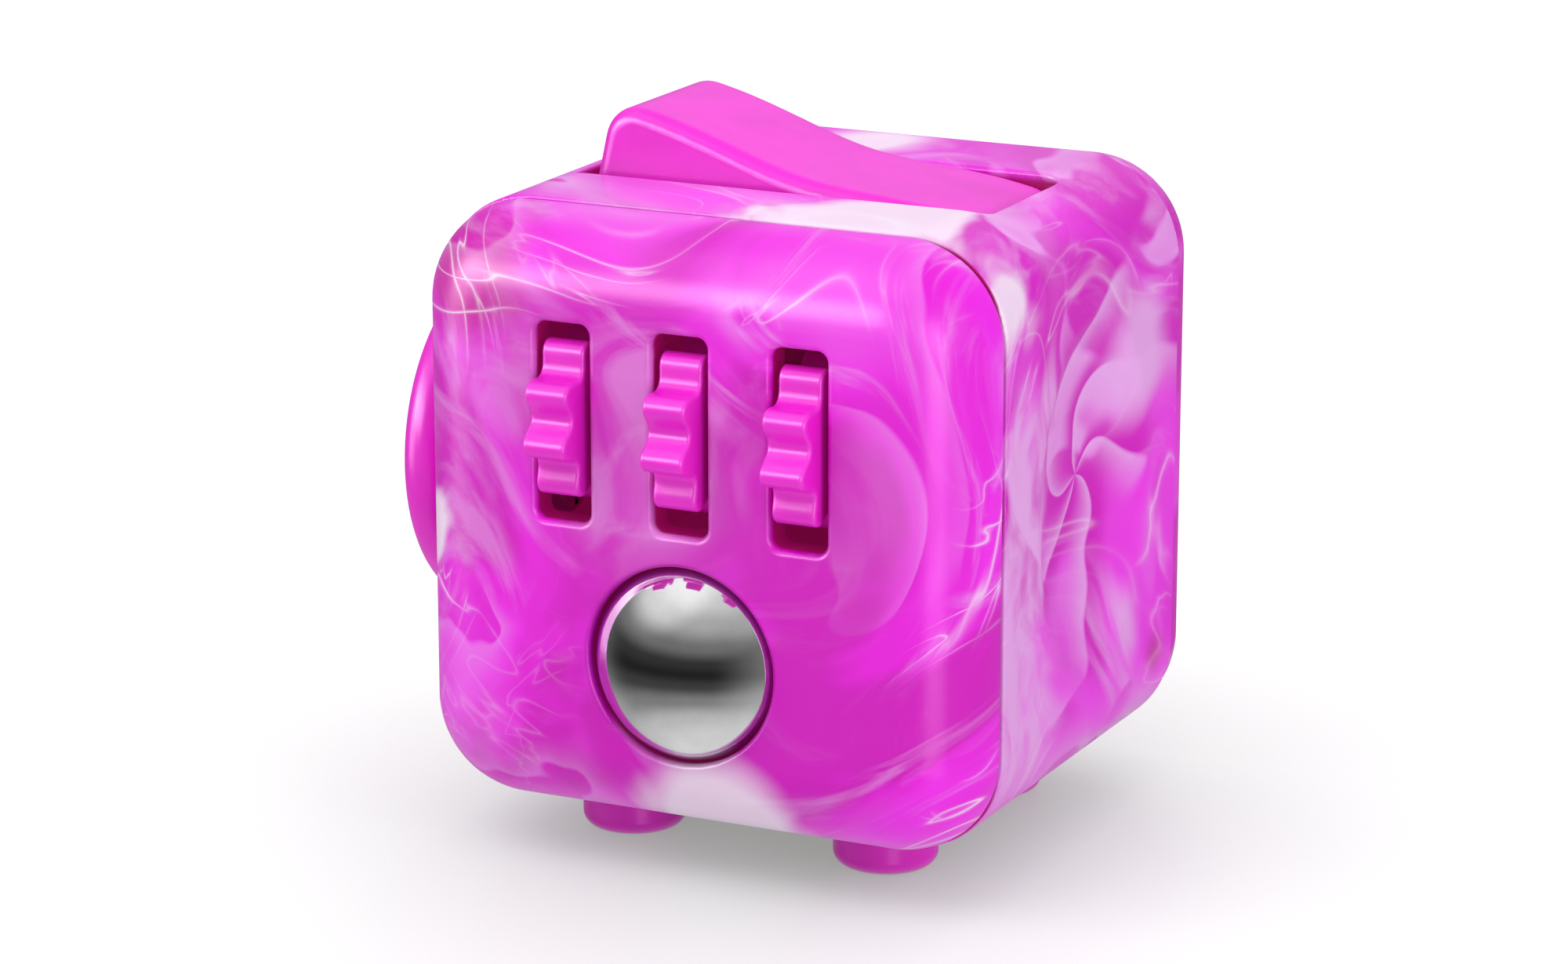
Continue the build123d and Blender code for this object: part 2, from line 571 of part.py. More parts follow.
def ball_plunger():
    """Spring-loaded cup behind the ball, with a nib that presses the snap dome."""
    body = rod_y(SOCKET_R - PLUNGER_GAP, PLUNGER_FRONT_Y, PLUNGER_BACK_Y, 0, BALL_Z)
    body += rod_y(NIB_R, PLUNGER_BACK_Y, PLUNGER_BACK_Y + NIB, 0, BALL_Z)
    body -= Pos(0, BALL_Y, BALL_Z) * Sphere(BALL_R + CUP_GAP)
    return body - rod_y(SEAT_R + SEAT_GAP, PLUNGER_FRONT_Y, SEAT_BACK_Y, 0, BALL_Z)


def ball_seat():
    """Slippery round pad in the cup that the ball turns on."""
    back = SEAT_BACK_Y - SEAT_RUN
    body = rod_y(SEAT_R, back - SEAT_T, back, 0, BALL_Z)
    return body - Pos(0, BALL_Y, BALL_Z) * Sphere(BALL_R + SEAT_RUN)


def ball_spring():
    """Wave spring, drawn at the length it has with the ball pressed in."""
    spring = coil(BALL_COIL_R, BALL_WIRE_R, BALL_COIL_L, BALL_TURNS)
    return Pos(0, SOCKET_FLOOR_Y - 2 * TOUCH, BALL_Z) * Rot(90, 0, 0) * spring


def ball_click_dome():
    return Pos(0, SOCKET_FLOOR_Y - TOUCH, BALL_Z) * Rot(90, 0, 0) * dome(BALL_DOME_R, BALL_DOME_H)


# ---- buttons ----
def button_cap(x, y, radius):
    """Hollow cap with a retaining flange inside the casing and a middle post."""
    end, flange = -HALF - BUTTON_PROUD, -INNER + FLANGE_GAP
    body = rod_z(radius, end, flange + FLANGE_H / 2)
    body = fillet(body.edges().sort_by(Axis.Z)[0], BUTTON_EDGE)
    body += rod_z(radius + FLANGE_EXTRA, flange, flange + FLANGE_H)
    body -= rod_z(radius - BUTTON_SKIN, end + POCKET_FLOOR, flange + FLANGE_H)
    body += rod_z(BUTTON_POST_R, end + POCKET_FLOOR, POST_TOP)
    return Pos(x, y, 0) * body


def button_spring(x, y):
    foot = -HALF - BUTTON_PROUD + POCKET_FLOOR + SEAT_GAP
    return Pos(x, y, foot) * coil(COIL_R, WIRE_R, BOARD_Z - SEAT_GAP - foot, COIL_TURNS)


def click_dome(x, y):
    return Pos(x, y, BOARD_Z - TOUCH) * Rot(180, 0, 0) * dome(DOME_R, DOME_H)


def silent_pad(x, y):
    top = BOARD_Z - TOUCH
    body = rod_z(PAD_PILL_R, top - PAD_PILL_H, top)
    return Pos(x, y, 0) * fillet(body.edges().sort_by(Axis.Z)[0], PAD_PILL_EDGE)


def button_board():
    """Plate that backs the springs, notched round the ball's socket."""
    top = BOARD_Z + BOARD_H
    body = block(-BOARD_HALF_X, BOARD_HALF_X, -BOARD_HALF_Y, BOARD_HALF_Y, BOARD_Z, top)
    body = fillet(body.edges().filter_by(Axis.Z), BOARD_CORNER)
    notch_end = SOCKET_FLOOR_Y + SOCKET_FLOOR + NOTCH_GAP
    body -= block(-NOTCH_HALF_X, NOTCH_HALF_X, -BOARD_HALF_Y, notch_end, BOARD_Z, top)
    for x, y in BOARD_POSTS:
        body -= rod_z(SCREW_R + RUN, BOARD_Z, top, x, y)
    return body


# ---- rocker switch ----
def tilted(shape):
    """From the rocker's own level frame, about its pivot, to where it rests: left end up."""
    return Pos(0, 0, ROCKER_PIVOT_Z) * Rot(0, ROCKER_TILT, 0) * shape


def rocker_outline():
    """Side outline: a hollow-backed top between two rounded humps, and upright ends."""
    top = Spline(
        (-ROCKER_HUMP_X, ROCKER_HUMP_Z), (0, ROCKER_MIDDLE_Z), (ROCKER_HUMP_X, ROCKER_HUMP_Z),
        tangents=((1, 0), (1, 0)),
    )
    shoulder = ROCKER_HUMP_Z - ROCKER_END_R
    right = CenterArc((ROCKER_HUMP_X, shoulder), ROCKER_END_R, 0, 90)
    left = CenterArc((-ROCKER_HUMP_X, shoulder), ROCKER_END_R, 90, 90)
    base = Polyline(
        (ROCKER_HALF, shoulder), (ROCKER_HALF, ROCKER_BOTTOM_Z),
        (-ROCKER_HALF, ROCKER_BOTTOM_Z), (-ROCKER_HALF, shoulder),
    )
    return make_face([top, right, base, left])


def rocker_cap():
    """Hollow rocker on its hub, with a rib across it and the stalk for the detent below."""
    half = ROCKER_WIDTH / 2
    inner = half - ROCKER_SKIN
    body = prism_y(rocker_outline(), -half, half)
    sides = body.faces().sort_by(Axis.Y)
    rims = sides[0].edges() + sides[-1].edges()
    body = fillet([edge for edge in rims if edge.center().Z > ROCKER_BOTTOM_Z + CATCH], ROCKER_EDGE)
    reach = ROCKER_HALF - ROCKER_SKIN
    ceiling = ROCKER_MIDDLE_Z - ROCKER_SKIN
    body -= block(-reach, reach, -inner, inner, 0, ceiling)
    body += rod_y(ROCKER_HUB_R, -half, half)
    body += block(-ROCKER_RIB_HALF, ROCKER_RIB_HALF, -inner - ROOT, inner + ROOT, 0, ceiling)
    body += rod_z(STALK_R, STALK_END_Z, 0)
    body -= rod_y(ROCKER_PIN_R + RUN, -half, half)
    return tilted(body - rod_z(STALK_BORE_R, STALK_END_Z, STALK_BORE_Z))


def rocker_pin():
    half = EAR_Y1 - PAST
    return rod_y(ROCKER_PIN_R, -half, half, 0, ROCKER_PIVOT_Z)


def rocker_plunger():
    centre = -TIP_REACH + TIP_R
    return tilted(rod_z(PLUNGER_R, centre, PLUNGER_TOP_Z) + Pos(0, 0, centre) * Sphere(TIP_R))


def rocker_spring():
    spring = coil(ROCKER_COIL_R, ROCKER_WIRE_R, ROCKER_COIL_L, ROCKER_TURNS)
    return tilted(Pos(0, 0, PLUNGER_TOP_Z + RUN) * spring)


def rocker_cam():
    """Block under the rocker with two valleys, so that the rocker rests either way."""
    body = block(-CAM_HALF_X, CAM_HALF_X, -CAM_HALF_Y, CAM_HALF_Y, BEAM_Z1 + 2 * TOUCH, CAM_TOP_Z)
    body -= rod_y(TIP_REACH + TIP_GAP, -CAM_HALF_Y, CAM_HALF_Y, 0, ROCKER_PIVOT_Z)
    away = TIP_REACH - TIP_R + TIP_TRAVEL
    for side in (-1, 1):
        angle = math.radians(side * ROCKER_TILT)
        x, z = away * math.sin(angle), ROCKER_PIVOT_Z - away * math.cos(angle)
        body -= rod_y(TIP_R + TIP_GAP, -CAM_HALF_Y, CAM_HALF_Y, x, z)
    return body


# ---- joystick ----
def joystick_disc():
    """Thumb disc: a round rim, a dished outer face, a hub underneath."""
    rim_r = DISC_T / 2
    dish = DISC_OUT_X + DISC_DISH
    under = DISC_OUT_X + DISC_T
    hub = under + HUB_PROUD
    crest = DISC_R - rim_r
    web = (dish + WEB_T, crest - WEB_SLOPE)
    face = Spline((dish, 0), (DISC_OUT_X, crest), tangents=((0, 1), (0, 1)))
    rim = ThreePointArc((DISC_OUT_X, crest), (DISC_OUT_X + rim_r, DISC_R), (under, crest))
    back = Spline((under, crest), web, tangents=((0, -1), (-0.3, -1)))
    inner = Polyline(web, (web[0], HUB_R), (hub, HUB_R - HUB_DRAFT), (hub, 0), (dish, 0))
    return revolve(make_face([face, rim, back, inner]), axis=Axis.X)


def joystick_stem():
    """Oblong neck under the disc, a round neck at the pivot and a thin tail for the spring."""
    hub = DISC_OUT_X + DISC_T + HUB_PROUD
    body = prism_x(RectangleRounded(STEM_Y, STEM_Z, STEM_CORNER), hub, STEM_END_X)
    body += rod_x(NECK_R, STEM_END_X, NECK_END_X)
    body += rod_x(TAIL_R, NECK_END_X, TAIL_END_X)
    body -= rod_z(GIMBAL_PIN_R + GRIP, -NECK_R, NECK_R, STICK_PIVOT_X, 0)
    return body - rod_x(TAIL_SCREW_R + RUN, TAIL_END_X - TAIL_HOLE, TAIL_END_X)


def gimbal_ring():
    x0, x1 = STICK_PIVOT_X - RING_T / 2, STICK_PIVOT_X + RING_T / 2
    ring = rod_x(RING_OUT, x0, x1) - rod_x(RING_IN, x0, x1)
    ring -= rod_z(GIMBAL_PIN_R + RUN, -RING_OUT, RING_OUT, STICK_PIVOT_X, 0)
    return ring - rod_y(GIMBAL_PIN_R + GRIP, -RING_OUT, RING_OUT, STICK_PIVOT_X, 0)


def gimbal_pins():
    """Two stub pins from the ring to the stick's housing."""
    left = rod_y(GIMBAL_PIN_R, -GIMBAL_PIN_OUT, -GIMBAL_PIN_IN, STICK_PIVOT_X, 0)
    return left + rod_y(GIMBAL_PIN_R, GIMBAL_PIN_IN, GIMBAL_PIN_OUT, STICK_PIVOT_X, 0)


def joystick_pin():
    return rod_z(GIMBAL_PIN_R, -STICK_PIN_HALF, STICK_PIN_HALF, STICK_PIVOT_X, 0)


def joystick_housing():
    """Cup on the left wall that carries the gimbal ring, with a floor for the spring and two ears."""
    body = rod_x(HOUSING_R, -INNER + SEAT_GAP, HOUSING_END_X)
    for side in (-1, 1):
        y0, y1 = outward(side, STICK_EAR_Y0, STICK_EAR_Y + STICK_EAR_OVER)
        body += block(HOUSING_EAR_X0, HOUSING_EAR_X1, y0, y1, -STICK_EAR_HALF, STICK_EAR_HALF)
        body -= rod_x(SCREW_R + RUN, HOUSING_EAR_X0, HOUSING_EAR_X1, side * STICK_EAR_Y)
    body -= rod_x(HOUSING_BORE_R, -INNER, HOUSING_FLOOR_X)
    body -= rod_x(HOUSING_HOLE_R, HOUSING_FLOOR_X - PAST, HOUSING_END_X)
    return body - rod_y(GIMBAL_PIN_R + RUN, -HOUSING_R, HOUSING_R, STICK_PIVOT_X, 0)


def joystick_spring():
    spring = coil(STICK_COIL_R, STICK_WIRE_R, STICK_COIL_L, STICK_TURNS)
    return Pos(HOUSING_END_X + SEAT_GAP, 0, 0) * Rot(0, 90, 0) * spring


def joystick_collar():
    """Plate on the end of the tail that the spring pushes on."""
    x0 = TAIL_END_X + COLLAR_GAP
    return rod_x(COLLAR_R, x0, x0 + COLLAR_T) - rod_x(TAIL_SCREW_R + RUN, x0, x0 + COLLAR_T)


# ---- spinning dial ----
def finger_pad():
    """Round pad near the dial's rim, dished for a fingertip."""
    face = DIAL_FACE_Y + PAD_PROUD
    pad = rod_y(PAD_R, DIAL_FACE_Y - DIAL_T / 2, face, PAD_X, PAD_Z)
    pad = fillet(pad.faces().sort_by(Axis.Y)[-1].edges(), PAD_EDGE)
    return pad - Pos(PAD_X, face + PAD_DISH_R - PAD_DISH_DEPTH, PAD_Z) * Sphere(PAD_DISH_R)


def spinner_disc():
    """Dial with its shaft, a finger pad near the rim and an arc of raised dots either side of it."""
    back = DIAL_FACE_Y - DIAL_T
    body = rod_y(DIAL_R, back, DIAL_FACE_Y)
    body = fillet(body.faces().sort_by(Axis.Y)[-1].edges(), DIAL_EDGE)
    body += finger_pad()
    pad_angle = math.degrees(math.atan2(PAD_Z, PAD_X))
    for index in range(DOTS):
        for side in (-1, 1):
            angle = math.radians(pad_angle + side * (DOT_FIRST + DOT_STEP * index))
            x, z = DOT_ARC_R * math.cos(angle), DOT_ARC_R * math.sin(angle)
            body += rod_y(DOT_R, DIAL_FACE_Y - PAST, DIAL_FACE_Y + DOT_PROUD, x, z)
    end = BOSS_END_Y - SHAFT_OVER
    body += rod_y(DIAL_SHAFT_R, end, back)
    return body - rod_y(SCREW_R + RUN, end, end + SHAFT_HOLE)


def spinner_bushing():
    return rod_y(BUSH_R, BOSS_END_Y, RECESS_Y) - rod_y(DIAL_SHAFT_R + RUN, BOSS_END_Y, RECESS_Y)


def spinner_washer():
    y1 = BOSS_END_Y - SHAFT_OVER - WASHER_GAP
    return rod_y(WASHER_R, y1 - WASHER_T, y1) - rod_y(SCREW_R + RUN, y1 - WASHER_T, y1)


# ---- the whole cube ----
def group(shape, places):
    """Copies of one shape as separate solids in one node."""
    return Compound(children=[Pos(*place) * shape for place in places])


def screws():
    """Every screw and group of screws, by node name."""
    towards_back = Rot(-90, 0, 0)
    towards_front = Rot(90, 0, 0)
    towards_inside = Rot(0, 90, 0)     # from the left wall
    four = corners(CORNER_X, CORNER_Z)
    hidden = corners(BACK_SCREW, BACK_SCREW)
    frame_back = REAR_LUG_Y + SEAT_GAP + FRAME_T
    ear_screw = towards_back * screw(EAR_SCREW_L)
    cover_screw = towards_back * screw(COVER_SCREW_L)
    tail_screw = towards_inside * screw(TAIL_SCREW_L, TAIL_SCREW_R, TAIL_HEAD_R)
    washer_front = BOSS_END_Y - SHAFT_OVER - WASHER_GAP - WASHER_T
    return {
        "front_cover_screws": group(cover_screw, [(x, FRONT_LUG_Y, z) for x, z in four]),
        "core_frame_screws": group(
            towards_back * screw(FRAME_SCREW_L), [(x, frame_back, z) for x, z in four]
        ),
        "back_cover_screws": group(
            towards_back * screw(BACK_SCREW_L), [(x, RECESS_Y - SUNK, z) for x, z in hidden]
        ),
        "gear_bracket_screws": group(
            ear_screw, [(x, EAR_BACK_Y, WHEEL_Z) for x in (-BRACKET_EAR_X, BRACKET_EAR_X)]
        ),
        "ball_socket_screws": group(
            ear_screw, [(x, EAR_BACK_Y, BALL_Z) for x in (-SOCKET_EAR_X, SOCKET_EAR_X)]
        ),
        "button_board_screws": group(
            screw(BOARD_SCREW_L), [(x, y, BOARD_Z + BOARD_H) for x, y in BOARD_POSTS]
        ),
        "joystick_housing_screws": group(
            towards_inside * screw(HOUSING_SCREW_L),
            [(HOUSING_EAR_X1, y, 0) for y in (-STICK_EAR_Y, STICK_EAR_Y)],
        ),
        "joystick_screw": Pos(TAIL_END_X + COLLAR_GAP + COLLAR_T, 0, 0) * tail_screw,
        "spinner_screw": Pos(0, washer_front, 0) * towards_front * screw(COVER_SCREW_L),
    }


def main():
    nodes = {
        "middle_housing": middle_housing(),
        "front_cover": front_cover(),
        "back_cover": back_cover(),
        "core_frame": core_frame(),
        "gear_axle": gear_axle(),
        "gear_bracket": gear_bracket(),
        "ball": ball(),
        "ball_seat": ball_seat(),
        "ball_plunger": ball_plunger(),
        "ball_spring": ball_spring(),
        "ball_click_dome": ball_click_dome(),
        "ball_socket": ball_socket(),
        "button_board": button_board(),
        "rocker_cap": rocker_cap(),
        "rocker_pin": rocker_pin(),
        "rocker_plunger": rocker_plunger(),
        "rocker_spring": rocker_spring(),
        "rocker_cam": rocker_cam(),
        "joystick_disc": joystick_disc(),
        "joystick_stem": joystick_stem(),
        "joystick_pin": joystick_pin(),
        "gimbal_ring": gimbal_ring(),
        "gimbal_pins": gimbal_pins(),
        "joystick_housing": joystick_housing(),
        "joystick_spring": joystick_spring(),
        "joystick_collar": joystick_collar(),
        "spinner_disc": spinner_disc(),
        "spinner_bushing": spinner_bushing(),
        "spinner_washer": spinner_washer(),
        **screws(),
    }
    for name, x in zip(("left", "middle", "right"), WHEEL_XS):
        nodes[f"gear_{name}"] = wheel(x)
        nodes[f"gear_click_spring_{name}"] = wheel_click_spring(x)
    for name, (x, y, radius, feel) in BUTTONS.items():
        nodes[f"button_{name}"] = button_cap(x, y, radius)
        nodes[f"button_spring_{name}"] = button_spring(x, y)
        if feel == "click":
            nodes[f"click_dome_{name}"] = click_dome(x, y)
        else:
            nodes[f"silent_pad_{name}"] = silent_pad(x, y)

    os.makedirs("parts", exist_ok=True)
    for name, shape in nodes.items():
        export_step(Pos(0, 0, CENTRE_Z) * shape, f"parts/{name}.step")


main()
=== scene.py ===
"""A fidget cube in marbled magenta plastic: its finishes, its lights and its white studio.

Patterns are laid out in cube sides from the cube's centre: X right, Y back, Z up.
"""
import json
import math

import bpy
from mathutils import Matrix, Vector

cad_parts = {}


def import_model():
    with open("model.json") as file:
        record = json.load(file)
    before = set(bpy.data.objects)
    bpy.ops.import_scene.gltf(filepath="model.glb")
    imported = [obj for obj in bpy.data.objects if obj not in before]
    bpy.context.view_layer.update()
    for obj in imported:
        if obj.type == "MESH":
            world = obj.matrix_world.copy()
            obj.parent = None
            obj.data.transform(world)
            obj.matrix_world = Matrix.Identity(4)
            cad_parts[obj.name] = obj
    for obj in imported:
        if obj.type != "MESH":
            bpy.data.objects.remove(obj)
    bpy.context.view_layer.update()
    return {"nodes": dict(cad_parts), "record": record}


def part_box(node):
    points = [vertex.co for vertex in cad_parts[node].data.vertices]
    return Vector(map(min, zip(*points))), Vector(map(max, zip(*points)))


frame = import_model()

MM = 0.001
sleeve_low, sleeve_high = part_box("middle_housing")
SIDE = sleeve_high.x - sleeve_low.x
CENTRE = (sleeve_low + sleeve_high) / 2

# ---- colours, linear ----
BLACK = (0.0, 0.0, 0.0)
WHITE = (1.0, 1.0, 1.0)
MAGENTA_DEEP = (0.48, 0.0, 0.24)
MAGENTA_DARK = (0.60, 0.0, 0.48)
MAGENTA = (0.75, 0.003, 0.66)
MAGENTA_PALE = (0.81, 0.012, 0.76)
LILAC = (0.74, 0.36, 0.76)
SMOKE = (0.86, 0.74, 0.87)
HOT_PINK = (0.80, 0.012, 0.60)
# painted highlight colour for the edges of the hot pink parts
HOT_PINK_HIGHLIGHT = (0.86, 0.12, 0.72)
CRIMSON = (0.42, 0.004, 0.12)
# painted shade: the darker red laid on the walls of the openings
MOUTH_SHADE = (0.30, 0.002, 0.10)
# a faint painted glow, standing in for light that comes through the plastic
THROUGH_GLOW = (0.09, 0.001, 0.032)    # light that comes through the plastic into an opening
STEEL = (0.78, 0.78, 0.79)
ZINC = (0.60, 0.60, 0.63)
ACETAL = (0.78, 0.77, 0.72)
SILICONE = (0.70, 0.70, 0.72)
PAPER = (0.24, 0.24, 0.24)

# ---- marbling: scales and shifts are in cube sides ----
# a noise is given by its scale, detail, roughness and distortion, as far as it needs them
SHIFT_WAY = (1.0, 1.7, -0.6)            # which way a shift moves the pattern
STIR_SLOW = (1.3, 1.5, 1.0)             # scale, reach, detail
STIR_QUICK = (1.8, 0.9, 2.0)
STIR_PLEATS = (2.2, 0.42, 2.0)
TONE_NOISE = (2.0, 3.0)
TONES = [(0.40, MAGENTA_DARK), (0.47, MAGENTA), (0.52, MAGENTA), (0.64, MAGENTA_PALE)]
RAGGED_NOISE, RAGGED_REACH = (2.0, 3.0), 3.0
BLOB_OUTER, BLOB_INNER = 1.1, 0.55      # where a blob starts and is full, in its radius
PATCH_SOFT = 0.16                       # width of a patch's soft edge, in noise
FOLDS = 5.0                             # folds across a field, or round a fan
FOLD_SCALE, FOLD_PATCH, FOLD_REACH = 1.1, 1.3, 0.40
RIDGE_POWER = 3.0                       # the higher, the later in its fold a ridge brightens
RIDGE_CUT = 0.93                        # where in its fold a ridge starts to break off
VALLEY_END, VALLEY_START = 0.5, 0.96    # a valley runs from late in one fold into the next
FAN_TWIST, FAN_RADIUS = 0.9, 0.62
LEVEL_SQUEEZE = (1.0, 1.0, 4.5)         # draws streaks out level
UPRIGHT_SQUEEZE = (4.5, 1.0, 1.0)       # draws streaks out upright
HAZE_NOISE = (5.0, 0.6, 0.6)            # without its scale
HAZE_LEVEL = (1.9, 0.54, 0.76)          # scale, and the noise where haze starts and is full
HAZE_UPRIGHT = (2.0, 0.56, 0.76)
HAZE_SHARE = 0.55                       # how milky the haze is at its fullest
FIBRE_NOISE = (1.5, 2.5, 0.5, 0.4)
FIBRE_POWER = 85.0                      # the higher, the thinner a fibre
FIBRE_PATCH, FIBRE_LEVEL, FIBRE_UPRIGHT = 1.7, 0.42, 0.45
WISP_SQUEEZE, WISP_NOISE = (1.0, 2.6, 1.0), (2.4, 4.0, 0.55)
WISP_FROM, WISP_FULL = 0.36, 0.60
DARK_SHARE = 0.8                        # how far a dark blob goes to the deep colour
CALM_SHARE = 0.85                       # how much of the streaks a calm blob takes away
PALE_LEAST = 0.85                       # how pale a pale blob is where there is no haze
MARBLE_IOR = 1.45
SHEEN_NOISE = (9.0, 3.0)
MARBLE_ROUGHNESS = (0.27, 0.36)
MARBLE_GRAIN = (0.26 * MM, 0.35, 0.02 * MM)    # size, strength, depth

# pale, milky, dark and calm blobs: (centre, radius)
SLEEVE_PALE = (
    ((-0.02, 0.27, 0.50), 0.17),
    ((0.22, -0.27, 0.50), 0.17),
    ((0.46, -0.30, 0.40), 0.11),
)
SLEEVE_MILKY = (
    ((0.50, -0.30, 0.10), 0.22),
    ((0.50, -0.30, -0.25), 0.26),
    ((0.50, 0.12, -0.25), 0.20),
    ((0.50, 0.20, 0.22), 0.16),
)
SLEEVE_DARK = (
    ((-0.15, 0.05, -0.50), 0.26),
    ((0.12, -0.12, -0.50), 0.20),
    ((0.50, 0.28, -0.33), 0.12),
    ((-0.30, 0.30, 0.50), 0.10),
)
SLEEVE_CALM = (
    ((-0.50, 0.0, 0.0), 0.85),
)
SLEEVE_HUB = (0.50, 0.02, 0.02)
FRONT_PALE = (
    ((0.05, -0.46, -0.48), 0.13),
    ((-0.49, -0.44, -0.06), 0.08),
)
FRONT_MILKY = (
    ((-0.32, -0.50, 0.28), 0.13),
    ((-0.08, -0.50, 0.14), 0.16),
    ((-0.42, -0.50, -0.10), 0.12),
)
FRONT_DARK = (
    ((-0.40, -0.47, 0.40), 0.13),
)
FRONT_CALM = (
    ((-0.36, -0.50, -0.22), 0.24),
    ((0.30, -0.50, -0.02), 0.30),
)

# ---- one-colour plastic ----
MOULD_IOR = 1.49
FLOW_NOISE = (4.0, 3.0, 0.55, 0.6)
FLOW_FROM, FLOW_TO, FLOW_DEEP = 0.3, 0.55, 0.86    # the deep places' brightness comes last
# how far the painted edge highlight goes towards the paler colour
EDGE_HIGHLIGHT = 0.5
RUB_NOISE = (26.0, 3.0)
RUB_LESS, RUB_MORE = 0.05, 0.06         # how far rubbing takes the roughness down and up
MOULD_GRAIN = (0.22 * MM, 0.18, 0.008 * MM)

# ---- metal ----
CLOUD_NOISE = (14.0, 4.0, 0.6)
CLOUD_FROM, CLOUD_TO, CLOUD_DULL = 0.35, 0.65, 0.9    # the dull places' brightness comes last
WIPE_SQUEEZE, WIPE_NOISE = (1.0, 1.0, 12.0), (30.0, 3.0)
WIPE_LESS, WIPE_MORE = 0.8, 1.25        # what wipe marks multiply the roughness by
METAL_GRAIN_SIZE, METAL_GRAIN_DEPTH = 0.12 * MM, 0.002 * MM

# ---- openings, whose walls get painted shade and a faint painted glow ----
ROUND_EDGE = 4.5 * MM                   # the cube's rounding, as far as openings need it
SUNK_FROM, SUNK_FULL = 0.25 * MM, 0.6 * MM
WALL_FROM, WALL_FULL = 0.75, 0.35       # cosine between a wall and the outside

# ---- edges, where a painted highlight goes ----
EDGE_RADIUS, EDGE_SAMPLES = 0.35 * MM, 4
EDGE_FLAT, EDGE_SHARP = 0.995, 0.86     # cosine between the rounded and the true normal

# ---- room ----
FILL = 0.50                             # brightness of the white room on matt surfaces
# soft glows in what glossy surfaces mirror: direction, spread as 1 - cosine, brightness
GLOWS = (
    ((-0.45, -0.25, 0.85), 0.30, 0.35),
    ((-0.20, 0.90, 0.45), 0.20, 0.3),
)
# what gloss mirrors, by height: 0 straight down, 0.5 level, 1 straight up
FRONT_WALLS = [(0.0, 0.75), (0.08, 0.60), (0.20, 0.26), (0.32, 0.06), (0.42, 0.02), (0.52, 0.04),
               (0.66, 0.20), (0.84, 0.50), (1.0, 0.9)]
BACK_WALLS = [(0.0, 0.85), (0.20, 0.50), (0.40, 0.20), (0.60, 0.20), (0.80, 0.50), (1.0, 0.85)]
AHEAD = (-0.31, -0.95, 0.0)             # the middle of the front walls
FRONT_FROM, FRONT_FULL = -0.35, 0.7     # how far round they reach, as cosines
FLOOR_HALF = 1.5
FLOOR_LEVEL = -0.02 * MM                # a hair below the button ends, so they share no plane
FLOOR_GLOW = 0.80
FLOOR_ROUGHNESS = 0.55
PAPER_NOISE = (60.0, 4.0)               # its scale is per metre
PAPER_FROM, PAPER_TO, PAPER_DIM = 0.3, 0.7, 0.985    # the dim places' brightness comes last
CONTACT_REACH, CONTACT_SAMPLES = 60 * MM, 8    # how far from the cube its soft shade goes
CONTACT_SHADE = [(0.0, (0.30, 0.37, 0.31)), (0.35, (0.51, 0.55, 0.52)), (0.75, 0.80), (0.97, 1.0)]
# name, direction, distance, size, power, and whether it is glossy: such a light only makes
# highlights
LIGHTS = (
    ("key", (-0.6, -0.9, 1.5), 0.42, (0.30, 0.22), 1.05, False),
    ("right", (1.6, -0.5, 0.7), 0.40, (0.22, 0.30), 0.60, False),
    ("back", (-0.2, 1.4, 1.3), 0.50, (0.35, 0.20), 0.85, False),
    ("rim_right", (0.66, -0.75, 0.05), 0.35, (0.14, 0.28), 0.8, True),
    ("rim_left", (-0.85, -0.52, 0.10), 0.36, (0.20, 0.24), 0.7, True),
    ("rim_top", (-0.60, -0.72, 0.33), 0.36, (0.34, 0.12), 1.35, True),
)

# ---- camera ----
AZIMUTH, ELEVATION = math.radians(25.8), math.radians(15.1)
DISTANCE = 277.8 * MM
AIM_OFFSET = Vector((-1.9, 0.0, -1.0)) * MM
SENSOR, LENS = 36.0, 116.0
NEAR, FAR = 0.01, 10.0


# ---- node helpers ----
def add(tree, kind, inputs=None, **settings):
    """A node with its settings, and its inputs set to values or linked to sockets."""
    node = tree.nodes.new(kind)
    for key, value in settings.items():
        setattr(node, key, value)
    for key, value in (inputs or {}).items():
        if isinstance(value, bpy.types.NodeSocket):
            tree.links.new(value, node.inputs[key])
        else:
            node.inputs[key].default_value = value
    return node


def math_of(tree, operation, a, b=0.0, clamp=False):
    return add(tree, "ShaderNodeMath", {0: a, 1: b}, operation=operation, use_clamp=clamp).outputs[0]


def times(tree, a, b):
    return math_of(tree, "MULTIPLY", a, b)


def larger(tree, a, b):
    return math_of(tree, "MAXIMUM", a, b)


def vector_of(tree, operation, a, b=BLACK):
    return add(tree, "ShaderNodeVectorMath", {0: a, 1: b}, operation=operation).outputs[0]


def number_of(tree, operation, a, b=BLACK):
    """The vector operations whose result is one number, such as LENGTH."""
    return add(tree, "ShaderNodeVectorMath", {0: a, 1: b}, operation=operation).outputs["Value"]


def scaled(tree, vector, factor):
    return add(tree, "ShaderNodeVectorMath", {0: vector, "Scale": factor}, operation="SCALE").outputs[0]


def noise(tree, vector, scale, detail=2.0, roughness=0.5, distortion=0.0, output="Fac"):
    inputs = {
        "Vector": vector, "Scale": scale, "Detail": detail, "Roughness": roughness,
        "Distortion": distortion,
    }
    return add(tree, "ShaderNodeTexNoise", inputs).outputs[output]


def ramp(tree, value, stops, interpolation="LINEAR"):
    """A colour for a value, from (position, colour or grey) stops."""
    node = add(tree, "ShaderNodeValToRGB", {"Fac": value})
    node.color_ramp.interpolation = interpolation
    points = node.color_ramp.elements
    while len(points) < len(stops):
        points.new(0.5)
    for point, (position, colour) in zip(points, stops):
        point.position = position
        shade = colour if isinstance(colour, tuple) else (colour,) * 3
        point.color = (*shade, 1.0)
    return node.outputs["Color"]


